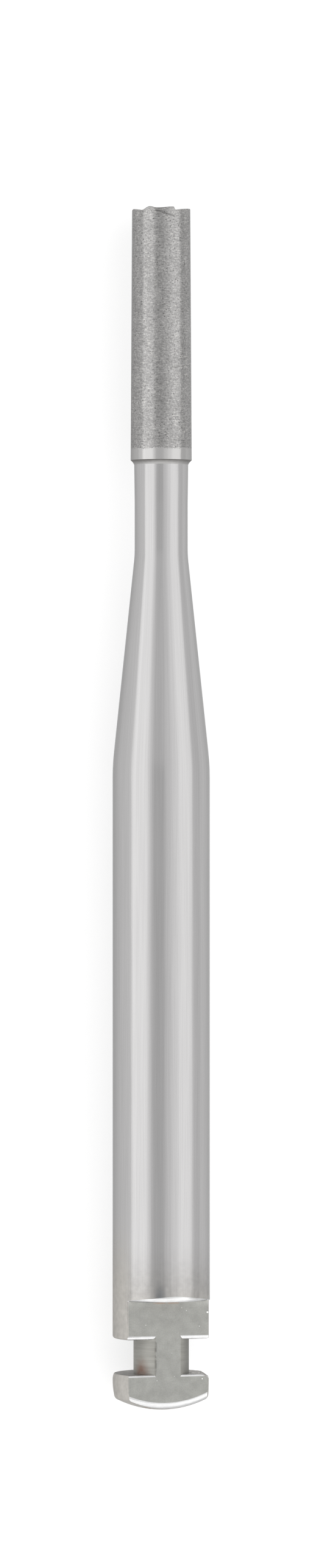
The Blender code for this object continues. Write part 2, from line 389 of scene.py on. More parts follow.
def plain_band(tree, x, patch):
    """Colour of the plain band by the collar: dull, with a painted highlight in front."""
    wander = {0: patch, 1: HIGHLIGHT_WANDER, 2: x}
    wander = add(tree, "ShaderNodeMath", wander, operation="MULTIPLY_ADD")
    middle = (HIGHLIGHT_LEFT + HIGHLIGHT_RIGHT + HIGHLIGHT_WANDER) / 2
    # The band is lightened over this stretch across X as a painted highlight.
    front_highlight = {0: wander, 1: middle, 2: (HIGHLIGHT_RIGHT - HIGHLIGHT_LEFT) / 2}
    front_highlight = add(tree, "ShaderNodeMath", front_highlight, operation="COMPARE")
    band = {0: front_highlight, 6: linear(BAND_DULL), 7: linear(BAND_HIGHLIGHT)}
    return add(tree, "ShaderNodeMix", band, **COLOUR_MIX)


def abraded_steel():
    """Steel roughened with a coarse abrasive: dull grey, pitted and scratched round the axis.

    The real pits are about 0.03 mm across. Below the ragged line the steel is bare, with a
    painted highlight in front.
    """
    material, tree, shader = new_metal("abraded stainless steel")
    spot, x, y, z = spot_on_bur(tree)
    grain = {"Vector": spot, "Scale": GRAIN_SCALE, "Detail": 3.0, "Roughness": 0.6}
    grain = add(tree, "ShaderNodeTexNoise", grain)
    patch = add(tree, "ShaderNodeTexNoise", {"Vector": spot, "Scale": PATCH_SCALE, "Detail": 1.0})
    rings = round_the_axis(tree, spot, SCRATCH_TURNS, SCRATCH_LENGTHS)
    scratch = {"Vector": rings, "Scale": 1.0, "Detail": 2.0, "Roughness": 0.6}
    scratch = add(tree, "ShaderNodeTexNoise", scratch)
    relief = {0: scratch, 1: SCRATCH_SHARE, 2: grain}
    relief = add(tree, "ShaderNodeMath", relief, operation="MULTIPLY_ADD")

    fleck = add(tree, "ShaderNodeMapRange", {0: grain, **PROUD_GRAIN}, **SMOOTH)
    ridge = add(tree, "ShaderNodeMapRange", {0: scratch, **PROUD_SCRATCH}, **SMOOTH)
    fleck = add(tree, "ShaderNodeMath", {0: fleck, 1: ridge}, operation="MAXIMUM")
    pit = pits_and_pocks(tree, spot, grain, patch)
    scored = add(tree, "ShaderNodeMapRange", {0: scratch, **DEEP_SCRATCH}, **SMOOTH)
    land_shade = land_shade_line(tree, x, y, z, grain)
    tone = {0: linear(HEAD_COLOUR)[:3], "Scale": abraded_shade(tree, relief, patch)}
    tone = add(tree, "ShaderNodeVectorMath", tone, operation="SCALE")
    # The last of these marks is painted shade under the land; the others are flecks, pits and
    # scores.
    marks = ((fleck, HEAD_FLECK), (pit, HEAD_PIT_AND_SHADE), (scored, HEAD_PIT_AND_SHADE), (land_shade, HEAD_PIT_AND_SHADE))
    for share, colour in marks:
        tone = add(tree, "ShaderNodeMix", {0: share, 6: tone, 7: linear(colour)}, **COLOUR_MIX)

    ragged = y
    for pattern in (patch, grain):
        ragged = {0: pattern, 1: RAGGED_STEP, 2: ragged}
        ragged = add(tree, "ShaderNodeMath", ragged, operation="MULTIPLY_ADD")
    rough_from = ROUGH_END + RAGGED_STEP
    covered = {0: ragged, 1: rough_from - RAGGED_BELOW, 2: rough_from + RAGGED_ABOVE}
    covered = add(tree, "ShaderNodeMapRange", covered, **SMOOTH)
    colour = {0: covered, 6: plain_band(tree, x, patch), 7: tone}
    colour = add(tree, "ShaderNodeMix", colour, **COLOUR_MIX)
    tree.links.new(colour, shader.inputs["Base Color"])
    rough = {0: covered, 3: STEEL_ROUGHNESS, 4: HEAD_ROUGHNESS}
    rough = add(tree, "ShaderNodeMapRange", rough)
    tree.links.new(rough, shader.inputs["Roughness"])
    relief = add(tree, "ShaderNodeMath", {0: relief, 1: covered}, operation="MULTIPLY")
    bump = add(tree, "ShaderNodeBump", {"Height": relief, "Distance": GRAIN_DEPTH})
    tree.links.new(bump, shader.inputs["Normal"])
    return material


def dull_fillet():
    """As-turned steel under the collar, darkened by painted shade up to the collar's crease."""
    material, tree, shader = new_metal("as-turned fillet")
    spot, _, y, _ = spot_on_bur(tree)
    grain = {"Vector": spot, "Scale": GRAIN_SCALE / 2, "Detail": 2.0}
    grain = add(tree, "ShaderNodeTexNoise", grain)
    place = {0: grain, 1: CREASE_WANDER, 2: y}
    place = add(tree, "ShaderNodeMath", place, operation="MULTIPLY_ADD")
    crease_shade = add(tree, "ShaderNodeMapRange", {0: place, 1: CREASE_FROM, 2: CREASE_TO})
    colour = {0: crease_shade, 6: linear(FILLET_COLOUR), 7: linear(CREASE_SHADE_COLOUR)}
    colour = add(tree, "ShaderNodeMix", colour, **COLOUR_MIX)
    tree.links.new(colour, shader.inputs["Base Color"])
    shader.inputs["Roughness"].default_value = FILLET_ROUGHNESS
    return material


def head_outline():
    """Half section of the collar's hollow fillet, the head's side and the edge of its tip."""
    foot = Vector((NECK_ROOT_RADIUS, NECK_ROOT))
    top = Vector((HEAD_ROOT_RADIUS, COLLAR))
    chord = top - foot
    radius = chord.length / 2 / sin(FILLET_TURN / 2)
    outward = Vector((chord.y, -chord.x)).normalized()
    centre = (foot + top) / 2 + outward * radius * cos(FILLET_TURN / 2)
    spoke = foot - centre
    start = atan2(spoke.y, spoke.x)
    outline = arc(centre, radius, start, start - FILLET_TURN)
    return outline + blend(outline[-1], (HEAD_TIP_RADIUS, LENGTH), (0, LENGTH), TIP_EDGE_RADIUS)


def prism(name, corners, travel, turn, finish):
    """Cutter with this flat outline, carried along travel and turned about the bur's axis."""
    shape = bmesh.new()
    section = shape.faces.new([shape.verts.new(corner) for corner in corners])
    raised = bmesh.ops.extrude_face_region(shape, geom=[section])
    far = [item for item in raised["geom"] if isinstance(item, bmesh.types.BMVert)]
    bmesh.ops.translate(shape, verts=far, vec=travel)
    about = {"cent": (0, 0, 0), "matrix": Matrix.Rotation(turn, 3, "Y")}
    bmesh.ops.rotate(shape, verts=shape.verts, **about)
    return make_object(name, shape, finish)


def land_cutter(finish):
    """What is ground away round the low land that crosses the tip."""
    reach = 2 * HEAD_TIP_RADIUS
    outline = []
    for (start, from_drop), (end, to_drop) in zip(LAND_STATIONS, LAND_STATIONS[1:]):
        for i in range(CROWN_STEPS):
            eased = (1 - cos(pi * i / CROWN_STEPS)) / 2
            drop = from_drop + (to_drop - from_drop) * eased
            across = start + (end - start) * i / CROWN_STEPS
            outline.append((across, along(LENGTH - LAND_HEIGHT * drop)))
    low = along(LENGTH - LAND_HEIGHT)
    top = along(LENGTH + LAND_HEIGHT)
    outline += [(LAND_STATIONS[-1][0], low), (HEAD_TIP_RADIUS, low + RIM_RISE_RIGHT)]
    outline += [(reach, low + RIM_RISE_RIGHT), (reach, top), (-reach, top)]
    corner = (TIP_EDGE_RADIUS - HEAD_TIP_RADIUS, low + RIM_RISE_LEFT - TIP_EDGE_RADIUS)
    outline += [(-reach, corner[1]), *arc(corner, TIP_EDGE_RADIUS, pi, pi / 2)]
    corners = [(x, y, -reach) for x, y in outline]
    return prism("land cut", corners, (0, 0, 2 * reach), -LAND_TURN, finish)


# ------------------------------------------------------------------------------------------
# Latch end
# A ring groove is turned behind a domed button, and a flat is milled across shank, groove
# and button, up to a square end wall. Tumbling has rounded the edges and left the flat matte.
# ------------------------------------------------------------------------------------------

BUTTON_LENGTH = 0.00088
STEM_RADIUS = 0.00067
DOME_RADIUS = 0.0024
BUTTON_EDGE_RADIUS = 0.00012
BUTTON_RIM_RADIUS = 0.000025
BARREL_HEIGHT = 0.00072
BARREL_RADIUS = 0.0019
BARREL_RIM_RADIUS = 0.0004
# The chip starts here on the wall and runs out on the button's side, at a reach and a drop.
CHIP_TOP = 0.00096
CHIP_SIDE = (0.00114, 0.0001)
CHIP_TURN = radians(16.5)
FLAT_HEIGHT = 0.000595
FLAT_LENGTH = 0.00266
EDGE_REACH = 0.00009
BUTTON_EDGE_REACH = 0.00005
DOME_EDGE_REACH = 0.00013
DOME_CUT_RADIUS = 0.0026
DOME_CUT_SIDE = -0.00007
CREST_REACH = 0.00014
CREST_SPREAD = radians(75.0)
CHAMFER_STEEP = radians(52.0)
CHAMFER_SHALLOW = radians(8.0)
LEFT_SHAVE_TURN = radians(-20.0)
LEFT_SHAVE_DEPTH = 0.000006
RIGHT_SHAVE_TURN = radians(75.0)
RIGHT_SHAVE_DEPTH = -0.000008
ROUND_STEPS = 10
SWEEP_STEPS = 64
# How far the cutters reach past what they cut.
LEAD = 0.0001
MARGIN = 0.0003
OVERLAP = 0.000001
# A face that looks this much along the axis is a wall of the groove.
WALL_FACING = 0.99
SHARP_ANGLE = radians(32.0)

# The flat's speckle is 0.033 mm wide, because the real one, near 0.01 mm, is too fine for the
# picture. Its clouds are 0.22 mm wide, and its nicks lie 0.2 mm apart.
FLAT_COLOUR = "#999995"
FLAT_BROWN = "#A89282"
FLAT_DARK = "#55534F"
FLAT_BRIGHT = "#F2F2F0"
FLAT_ROUGHNESS = 0.5
SPECKLE_SCALE = 30000.0
CLOUD_SCALE = 4500.0
NICK_SCALE = 5000.0
NICK_SIZE = 0.055
NICK_SHARE = 0.8
CHIPPED_FROM = 0.00078
CHIPPED_TO = 0.00098
CHIPPED_GAIN = 0.09
# Painted light next to the flat's end wall: how far it reaches and how much it lightens.
WALL_LIGHT_WIDTH = 0.0002
WALL_LIGHT_GAIN = 1.25
RUST_REACH = 0.00045
RUST_WIDTH = 0.00009
DIRT_REACH = 0.000045
DIRT_SHARE = 0.55
SPECKLE_SHADES = {1: 0.25, 2: 0.75, 3: 0.94, 4: 1.06}
CLOUD_SHADES = {1: 0.3, 2: 0.7, 3: 0.92, 4: 1.08}
RUST_BREAKS = {1: 0.35, 2: 0.5, 4: 0.9}
DIRT_BREAKS = {1: 0.36, 2: 0.52}

# The groove's turning lines are 0.067 mm apart and 0.84 mm long.
GROOVE_COLOUR = "#969590"
# Painted shade that darkens the stem towards its right side.
GROOVE_RIGHT_SHADE = "#757470"
GROOVE_TINT = (0.9, 0.9, 0.9, 1.0)
GROOVE_ROUGHNESS = 0.5
RING_TURNS = 0.8
RING_LENGTHS = 15000.0
RING_DEPTH = 0.000001
RING_SHADES = {1: 0.3, 2: 0.7, 3: 0.88, 4: 1.1}
RIGHT_SHADE_FROM = 0.45 * STEM_RADIUS
STAIN_COLOUR = "#7E5A4B"
STAIN_PLACE = (-0.0006, -0.01362, 0.0003)
STAIN_STRETCH = (1.0, 0.7, 1.0)
STAIN_REACH = 0.00034
STAIN_SHARE = 0.75
STAIN_SHADES = {1: 0.3, 2: 0.6, 3: 0.5, 4: 1.0}

# The nicks in the wall are 0.125 mm wide and lie on the right, beside the chip.
# The wall's dark tone is partly its dull faced steel and partly painted shade of the groove.
WALL_TONE_AND_SHADE = "#A09E9B"
WALL_SHADES = {1: 0.3, 2: 0.7, 3: 0.75, 4: 1.2}
RIM_NICK_SCALE = 8000.0
RIM_NICKS = {1: 0.52, 2: 0.58, 4: 1.1}
NICKED_FROM = 0.0005
NICKED_TO = 0.0007
EDGE_COLOUR = "#C5C5C5"
EDGE_ROUGHNESS = 0.26
EDGE_SHADES = {1: 0.3, 2: 0.65, 3: 0.94, 4: 1.03}


def dirt_by_stem(tree, x, y, cloud):
    """Share of the broken line of dirt that lies along the stem's left edge, in the groove."""
    stem_edge = -sqrt(STEM_RADIUS**2 - FLAT_HEIGHT**2)
    off = add(tree, "ShaderNodeMath", {0: x, 1: stem_edge}, operation="SUBTRACT")
    off = add(tree, "ShaderNodeMath", {0: off}, operation="ABSOLUTE")
    beside = {0: off, 1: DIRT_REACH, 2: 0.0, 4: DIRT_SHARE}
    beside = add(tree, "ShaderNodeMapRange", beside, **SMOOTH)
    broken = add(tree, "ShaderNodeMapRange", {0: cloud, **DIRT_BREAKS}, **SMOOTH)
    dirt = add(tree, "ShaderNodeMath", {0: beside, 1: broken}, operation="MULTIPLY")
    beyond = along(SHANK_START) - DIRT_REACH
    groove = (along(BUTTON_LENGTH) + beyond) / 2
    within = {0: y, 1: groove, 2: beyond - groove}
    within = add(tree, "ShaderNodeMath", within, operation="COMPARE")
    return add(tree, "ShaderNodeMath", {0: dirt, 1: within}, operation="MULTIPLY")


def rust_by_wall(tree, x, y, cloud):
    """Share of the thin, broken line of rust in the middle of the flat's end wall."""
    end_wall = along(FLAT_LENGTH)
    wall = {0: y, 1: end_wall - RUST_WIDTH, 2: end_wall - RUST_WIDTH / 3}
    wall = add(tree, "ShaderNodeMapRange", wall, **SMOOTH)
    off = add(tree, "ShaderNodeMath", {0: x}, operation="ABSOLUTE")
    central = {0: off, 1: RUST_REACH, 2: RUST_REACH / 2}
    central = add(tree, "ShaderNodeMapRange", central, **SMOOTH)
    patchy = add(tree, "ShaderNodeMapRange", {0: cloud, **RUST_BREAKS}, **SMOOTH)
    rust = add(tree, "ShaderNodeMath", {0: wall, 1: patchy}, operation="MULTIPLY")
    return add(tree, "ShaderNodeMath", {0: rust, 1: central}, operation="MULTIPLY")


def nicks_in_flat(tree, spot, x):
    """Share of the small bright nicks, which are larger beside the flat's right edge."""
    nick = add(tree, "ShaderNodeTexVoronoi", {"Vector": spot, "Scale": NICK_SCALE})
    chipped = {0: x, 1: CHIPPED_FROM, 2: CHIPPED_TO, 4: CHIPPED_GAIN}
    chipped = add(tree, "ShaderNodeMapRange", chipped, **SMOOTH)
    nick = add(tree, "ShaderNodeMath", {0: nick, 1: chipped}, operation="SUBTRACT")
    nicked = {0: nick, 1: NICK_SIZE, 2: NICK_SIZE / 2, 4: NICK_SHARE}
    return add(tree, "ShaderNodeMapRange", nicked, **SMOOTH)


def milled_flat():
    """Fine-milled and tumbled steel: an even matte grey, faintly clouded, with a few nicks.

    A thin brown line of rust lies along the end wall, and dirt along the stem's left edge.
    Painted light lightens the flat next to the end wall, against the shade that the wall casts.
    """
    material, tree, shader = new_metal("milled flat")
    spot, x, y, _ = spot_on_bur(tree)
    speckle = {"Vector": spot, "Scale": SPECKLE_SCALE, "Detail": 2.0}
    speckle = add(tree, "ShaderNodeTexNoise", speckle)
    cloud = add(tree, "ShaderNodeTexNoise", {"Vector": spot, "Scale": CLOUD_SCALE, "Detail": 3.0})
    shade = add(tree, "ShaderNodeMapRange", {0: speckle, **SPECKLE_SHADES})
    broad = add(tree, "ShaderNodeMapRange", {0: cloud, **CLOUD_SHADES})
    # Painted light: the flat is lightened up to its end wall, where the wall's shade falls.
    end_wall = along(FLAT_LENGTH)
    wall_light = {0: y, 1: end_wall - WALL_LIGHT_WIDTH, 2: end_wall, 3: 1.0, 4: WALL_LIGHT_GAIN}
    wall_light = add(tree, "ShaderNodeMapRange", wall_light, **SMOOTH)
    for other in (broad, wall_light):
        shade = add(tree, "ShaderNodeMath", {0: shade, 1: other}, operation="MULTIPLY")
    tone = {0: linear(FLAT_COLOUR)[:3], "Scale": shade}
    tone = add(tree, "ShaderNodeVectorMath", tone, operation="SCALE")
    rust = rust_by_wall(tree, x, y, cloud)
    dirt = dirt_by_stem(tree, x, y, cloud)
    nicked = nicks_in_flat(tree, spot, x)
    for share, colour in ((rust, FLAT_BROWN), (dirt, FLAT_DARK), (nicked, FLAT_BRIGHT)):
        tone = add(tree, "ShaderNodeMix", {0: share, 6: tone, 7: linear(colour)}, **COLOUR_MIX)
    tree.links.new(tone, shader.inputs["Base Color"])
    shader.inputs["Roughness"].default_value = FLAT_ROUGHNESS
    return material


def turned_groove():
    """Turned steel that wasn't ground: dull, with faint lines round the axis.

    A soft red-brown stain sits by the button on the left, and painted shade darkens the right.
    """
    material, tree, shader = new_metal("turned groove")
    shader.inputs["Specular Tint"].default_value = GROOVE_TINT
    spot, x, y, _ = spot_on_bur(tree)
    rings = round_the_axis(tree, spot, RING_TURNS, RING_LENGTHS)
    height = add(tree, "ShaderNodeTexNoise", {"Vector": rings, "Scale": 1.0, "Detail": 3.0})
    mottle = {"Vector": spot, "Scale": MOTTLE_SCALE, "Detail": 3.0}
    mottle = add(tree, "ShaderNodeTexNoise", mottle)
    cloud = add(tree, "ShaderNodeTexNoise", {"Vector": spot, "Scale": CLOUD_SCALE, "Detail": 3.0})
    shade = add(tree, "ShaderNodeMapRange", {0: height, **RING_SHADES})
    tone = {0: linear(GROOVE_COLOUR)[:3], "Scale": shade}
    tone = add(tree, "ShaderNodeVectorMath", tone, operation="SCALE")
    # Painted shade, darkening the stem towards its right side.
    right_shade = add(tree, "ShaderNodeMapRange", {0: x, 1: RIGHT_SHADE_FROM, 2: STEM_RADIUS}, **SMOOTH)
    stain = soft_patch(tree, spot, STAIN_PLACE, STAIN_STRETCH, STAIN_REACH, STAIN_SHARE)
    uneven = add(tree, "ShaderNodeMapRange", {0: mottle, **STAIN_SHADES})
    stain = add(tree, "ShaderNodeMath", {0: stain, 1: uneven}, operation="MULTIPLY")
    dirt = dirt_by_stem(tree, x, y, cloud)
    for share, colour in ((right_shade, GROOVE_RIGHT_SHADE), (stain, STAIN_COLOUR), (dirt, FLAT_DARK)):
        tone = add(tree, "ShaderNodeMix", {0: share, 6: tone, 7: linear(colour)}, **COLOUR_MIX)
    tree.links.new(tone, shader.inputs["Base Color"])
    shader.inputs["Roughness"].default_value = GROOVE_ROUGHNESS
    bump = add(tree, "ShaderNodeBump", {"Height": height, "Distance": RING_DEPTH})
    tree.links.new(bump, shader.inputs["Normal"])
    return material


def faced_wall():
    """Wall faced with the grooving tool: dull and partly darkened by painted shade, with bright
    nicks on the right.
    """
    material, tree, shader = new_metal("faced groove wall")
    spot, x, *_ = spot_on_bur(tree)
    mottle = {"Vector": spot, "Scale": MOTTLE_SCALE, "Detail": 3.0}
    mottle = add(tree, "ShaderNodeTexNoise", mottle)
    shade = add(tree, "ShaderNodeMapRange", {0: mottle, **WALL_SHADES})
    nicks = add(tree, "ShaderNodeTexNoise", {"Vector": spot, "Scale": RIM_NICK_SCALE})
    nicks = add(tree, "ShaderNodeMapRange", {0: nicks, **RIM_NICKS})
    right = add(tree, "ShaderNodeMapRange", {0: x, 1: NICKED_FROM, 2: NICKED_TO})
    shade = {0: nicks, 1: right, 2: shade}
    shade = add(tree, "ShaderNodeMath", shade, operation="MULTIPLY_ADD")
    tone = {0: linear(WALL_TONE_AND_SHADE)[:3], "Scale": shade}
    tone = add(tree, "ShaderNodeVectorMath", tone, operation="SCALE")
    tree.links.new(tone, shader.inputs["Base Color"])
    shader.inputs["Roughness"].default_value = GROOVE_ROUGHNESS
    return material


def tumbled_edge():
    """Edge rounded by tumbling: bright, and faintly mottled."""
    material, tree, shader = new_metal("tumbled edge")
    spot, *_ = spot_on_bur(tree)
    mottle = {"Vector": spot, "Scale": MOTTLE_SCALE, "Detail": 3.0}
    mottle = add(tree, "ShaderNodeTexNoise", mottle)
    shade = add(tree, "ShaderNodeMapRange", {0: mottle, **EDGE_SHADES})
    tone = {0: linear(EDGE_COLOUR)[:3], "Scale": shade}
    tone = add(tree, "ShaderNodeVectorMath", tone, operation="SCALE")
    tree.links.new(tone, shader.inputs["Base Color"])
    shader.inputs["Roughness"].default_value = EDGE_ROUGHNESS
    return material


def button_outline():
    """Half section of the button: its dome, edge, barrel-shaped side and rim.

    The edge touches dome and side from inside, so its centre is where the two circles that
    run one edge radius inside them cross.
    """
    dome_centre = Vector((0, DOME_RADIUS))
    barrel_centre = Vector((SHANK_RADIUS - BARREL_RADIUS, BARREL_HEIGHT))
    from_dome = DOME_RADIUS - BUTTON_EDGE_RADIUS
    from_barrel = BARREL_RADIUS - BUTTON_EDGE_RADIUS
    span = dome_centre - barrel_centre
    share = (from_barrel**2 - from_dome**2 + span.length_squared) / 2 / span.length
    aside = Vector((span.y, -span.x)).normalized() * sqrt(from_barrel**2 - share**2)
    edge_centre = barrel_centre + span.normalized() * share + aside
    dome_turn = atan2(edge_centre.y - dome_centre.y, edge_centre.x - dome_centre.x)
    barrel_turn = atan2(edge_centre.y - barrel_centre.y, edge_centre.x - barrel_centre.x)
    outline = arc(dome_centre, DOME_RADIUS, -pi / 2, dome_turn)
    outline += arc(edge_centre, BUTTON_EDGE_RADIUS, dome_turn, barrel_turn)[1:]
    outline += arc(barrel_centre, BARREL_RADIUS, barrel_turn, 0)[1:]
    rim_centre = (SHANK_RADIUS - BARREL_RIM_RADIUS, BARREL_HEIGHT)
    rim_turn = asin((BUTTON_LENGTH - BARREL_HEIGHT) / BARREL_RIM_RADIUS)
    rim = arc(rim_centre, BARREL_RIM_RADIUS, 0, rim_turn)
    return outline + rim[1:-1] + blend(rim[-2], rim[-1], (0, BUTTON_LENGTH), BUTTON_RIM_RADIUS)


def chamfer_depth(reach):
    """How deep a chamfer is that reaches this far along the face."""
    return reach * tan((CHAMFER_STEEP + CHAMFER_SHALLOW) / 2)


def chamfer_outline(reach, lead=LEAD):
    """Cutter outline that leaves a domed chamfer, from a wall at 0 to reach."""
    radius = reach / (sin(CHAMFER_STEEP) - sin(CHAMFER_SHALLOW))
    depth = chamfer_depth(reach)
    turn = CHAMFER_SHALLOW - CHAMFER_STEEP
    slopes = [CHAMFER_STEEP + turn * i / ROUND_STEPS for i in range(ROUND_STEPS + 1)]
    outline = [(-lead, -depth - lead * tan(CHAMFER_STEEP))]
    for slope in slopes:
        rise = radius * (cos(slope) - cos(CHAMFER_STEEP))
        outline.append((radius * (sin(CHAMFER_STEEP) - sin(slope)), rise - depth))
    outline.append((reach + LEAD, LEAD * tan(CHAMFER_SHALLOW)))
    return outline + [(reach + LEAD, MARGIN), (-lead, MARGIN)]


def edge_round(name, height, facing, reach, finish):
    """Bar that rounds the edge between the drive flat and a wall of the groove."""
    width = SHANK_RADIUS + MARGIN
    wall = along(height)
    outline = chamfer_outline(reach)
    corners = [(-width, wall - facing * y, FLAT_HEIGHT + z) for y, z in outline]
    return prism(name, corners, (2 * width, 0, 0), 0.0, finish)


def block(name, size, place, finish):
    """Cutting block of this size."""
    shape = bmesh.new()
    bmesh.ops.create_cube(shape, matrix=place @ Matrix.Diagonal((*size, 1)))
    return make_object(name, shape, finish)


def edge_shave(name, turn, depth, finish):
    """Block that shaves a long edge of the drive flat, square to a direction round the axis."""
    flat_edge = pi / 2 - asin(FLAT_HEIGHT / SHANK_RADIUS)
    height = SHANK_RADIUS * cos(flat_edge - abs(turn)) - depth
    start = along(-MARGIN)
    length = along(FLAT_LENGTH) - start
    middle = Matrix.Translation((0, start + length / 2, height + SHANK_RADIUS / 2))
    size = (3 * SHANK_RADIUS, length, SHANK_RADIUS)
    return block(name, size, Matrix.Rotation(turn, 4, "Y") @ middle, finish)


def flat_cutter(finish):
    """Block that the drive flat takes off, up to its end wall."""
    start = along(-MARGIN)
    width = 2 * SHANK_RADIUS + 2 * MARGIN
    length = along(FLAT_LENGTH) - start
    place = Matrix.Translation((0, start + length / 2, FLAT_HEIGHT + width / 2))
    return block("drive flat cut", (width, length, width), place, finish)


def swept(name, section, centre, axis, sweep, finish):
    """Cutter swept about an axis, to both sides of the plane of its section."""
    shape = bmesh.new()
    corners = [shape.verts.new(corner) for corner in section]
    face = shape.faces.new(corners)
    bmesh.ops.rotate(shape, verts=corners, cent=centre, matrix=Matrix.Rotation(-sweep, 3, axis))
    turn = {"cent": centre, "axis": axis, "angle": 2 * sweep, "steps": SWEEP_STEPS}
    bmesh.ops.spin(shape, geom=[face, *face.edges, *corners], **turn)
    return make_object(name, shape, finish)


def dome_round(finish):
    """Rounded cut where the drive flat meets the dome: flatter than the dome, so it tapers."""
    rim = along(DOME_RADIUS - sqrt(DOME_RADIUS**2 - FLAT_HEIGHT**2))
    centre = Vector((DOME_CUT_SIDE, rim + DOME_CUT_RADIUS, 0))
    outline = chamfer_outline(DOME_EDGE_REACH)
    section = [(DOME_CUT_SIDE, rim + y, FLAT_HEIGHT + z) for y, z in outline]
    sweep = asin((SHANK_RADIUS + MARGIN) / (DOME_CUT_RADIUS - DOME_EDGE_REACH - LEAD))
    return swept("dome round", section, centre, Vector((0, 0, 1)), sweep, finish)


def crest_round(finish):
    """Rounded cut on the crest of the flat's end wall, deepest at the top of the shank."""
    wall = along(FLAT_LENGTH)
    crest = SHANK_RADIUS - chamfer_depth(CREST_REACH)
    side = SHANK_RADIUS * cos(CREST_SPREAD)
    drop = (SHANK_RADIUS**2 - crest**2) / 2 / (crest - side)
    outline = chamfer_outline(CREST_REACH, OVERLAP)
    section = [(0, wall + y, SHANK_RADIUS + z) for y, z in outline]
    centre = Vector((0, wall, -drop))
    tool = swept("crest round", section, centre, Vector((0, 1, 0)), CREST_SPREAD, finish)
    shape = bmesh.new()
    shape.from_mesh(tool.data)
    whole = [*shape.verts, *shape.edges, *shape.faces]
    level = {"plane_co": (0, 0, FLAT_HEIGHT), "plane_no": (0, 0, 1), "clear_inner": True}
    cut_line = bmesh.ops.bisect_plane(shape, geom=whole, **level)["geom_cut"]
    rims = [item for item in cut_line if isinstance(item, bmesh.types.BMEdge)]
    bmesh.ops.holes_fill(shape, edges=rims, sides=0)
    shape.to_mesh(tool.data)
    shape.free()
    return tool


def rim_chip(finish):
    """Wedge that breaks the right side of the button's rim."""
    side, drop = CHIP_SIDE
    slope = drop / (side - CHIP_TOP)
    level = along(BUTTON_LENGTH) + OVERLAP
    top = CHIP_TOP - OVERLAP / slope
    reach = SHANK_RADIUS + MARGIN
    low = level - (reach - top) * slope
    corners = [(top, level, -reach), (reach, low, -reach), (reach, level, -reach)]
    return prism("rim chip", corners, (0, 0, 2 * reach), -CHIP_TURN, finish)


def cut(target, operation, tool):
    """Applies one Boolean to target and clears the tool away."""
    step = target.modifiers.new(tool.name, "BOOLEAN")
    step.operation = operation
    step.solver = "EXACT"
    step.material_mode = "TRANSFER"
    step.object = tool
    graph = bpy.context.evaluated_depsgraph_get()
    result = bpy.data.meshes.new_from_object(target.evaluated_get(graph))
    target.modifiers.clear()
    target.data = result
    bpy.data.objects.remove(tool, do_unlink=True)


def drop_slivers(target):
    """Dissolves the needle-thin faces that the cuts leave."""
    shape = bmesh.new()
    shape.from_mesh(target.data)
    bmesh.ops.dissolve_degenerate(shape, dist=WELD, edges=shape.edges)
    shape.to_mesh(target.data)
    shape.free()


steel = ground_stainless_steel()
rough_head = abraded_steel()
fillet_steel = dull_fillet()
flat_steel = milled_flat()
groove_steel = turned_groove()
wall_steel = faced_wall()
edge_steel = tumbled_edge()

button = turned("button", button_outline(), steel)
button_edge = edge_round("button edge", BUTTON_LENGTH, 1, BUTTON_EDGE_REACH, edge_steel)
for tool in (button_edge, dome_round(edge_steel), rim_chip(wall_steel)):
    cut(button, "DIFFERENCE", tool)

bur = turned("latch_bur", shank_outline() + head_outline(), steel)
cut(bur, "DIFFERENCE", edge_round("shank edge", SHANK_START, -1, EDGE_REACH, edge_steel))
stem_outline = [(STEM_RADIUS, height + BUTTON_LENGTH / 2) for height in (0, SHANK_START)]
cut(bur, "UNION", turned("stem", stem_outline, groove_steel))
cut(bur, "UNION", button)
left_shave = edge_shave("left edge", LEFT_SHAVE_TURN, LEFT_SHAVE_DEPTH, steel)
right_shave = edge_shave("right edge", RIGHT_SHAVE_TURN, RIGHT_SHAVE_DEPTH, edge_steel)
tools = [crest_round(edge_steel), flat_cutter(flat_steel), left_shave, right_shave]
for tool in [*tools, land_cutter(rough_head)]:
    cut(bur, "DIFFERENCE", tool)
drop_slivers(bur)

bur.data.materials.append(fillet_steel)
slots = bur.data.materials
for face in bur.data.polygons:
    face.use_smooth = True
    middle = face.center
    in_groove = along(BUTTON_LENGTH / 2) < middle.y < along(FLAT_LENGTH - LEAD)
    if middle.y > along(COLLAR):
        face.material_index = slots.find(rough_head.name)
    elif middle.y > along(NECK_ROOT):
        face.material_index = slots.find(fillet_steel.name)
    elif in_groove and abs(face.normal.y) > WALL_FACING:
        face.material_index = slots.find(wall_steel.name)
bur.data.transform(Matrix.Translation((0, 0, SHANK_RADIUS)))
bur.data.set_sharp_from_angle(angle=SHARP_ANGLE)
even = bur.modifiers.new("even shading", "WEIGHTED_NORMAL")
even.keep_sharp = True

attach(bur, "root")
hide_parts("bur")

# ------------------------------------------------------------------------------------------
# Studio
# A white table, soft boxes beside the bur and beyond its latch end, and an open pale room.
# The camera looks down on the bur from a little to the left of the drive flat.
# ------------------------------------------------------------------------------------------

FLOOR_SIZE = 3.0
FLOOR_COLOUR = "#A2A2A2"
FLOOR_ROUGHNESS = 0.9
# The table's grain is 2.5 mm wide.
FLOOR_GRAIN = 400.0
FLOOR_SHADES = {1: 0.3, 2: 0.7, 3: 0.99, 4: 1.0}
FLOOR_LIFT = 0.68
MIRROR_LIFT = 0.62
ROOM_GREY = 0.79

